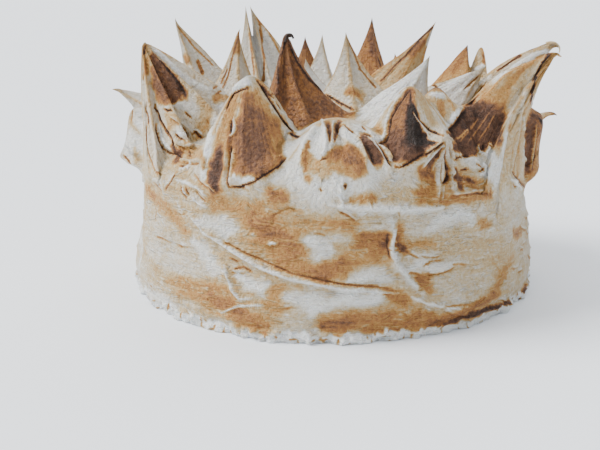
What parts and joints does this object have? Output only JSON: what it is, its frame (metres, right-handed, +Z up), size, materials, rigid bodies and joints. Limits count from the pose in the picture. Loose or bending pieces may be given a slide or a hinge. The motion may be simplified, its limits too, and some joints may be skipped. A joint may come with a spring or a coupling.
{
  "type": "lemon meringue cake",
  "caption": "Round uncut lemon meringue cake: scraped, torch-browned meringue on its wall and tall pulled meringue peaks over its top.",
  "frame": {"origin": "centre of the cake's flat underside, where it rests", "axes": "+Z up out of the cake, +X to the cake's right as the front is seen, -Y toward the viewer"},
  "size_m": [0.2336, 0.2091, 0.1405],
  "materials": {
    "meringue": "matt to satin whipped meringue, white where untouched by the torch, toasted tan to dark brown on the peaks and in patches on the wall"
  },
  "bodies": {
    "root": {"meringue_cake": "meringue"}
  },
  "joints": []
}
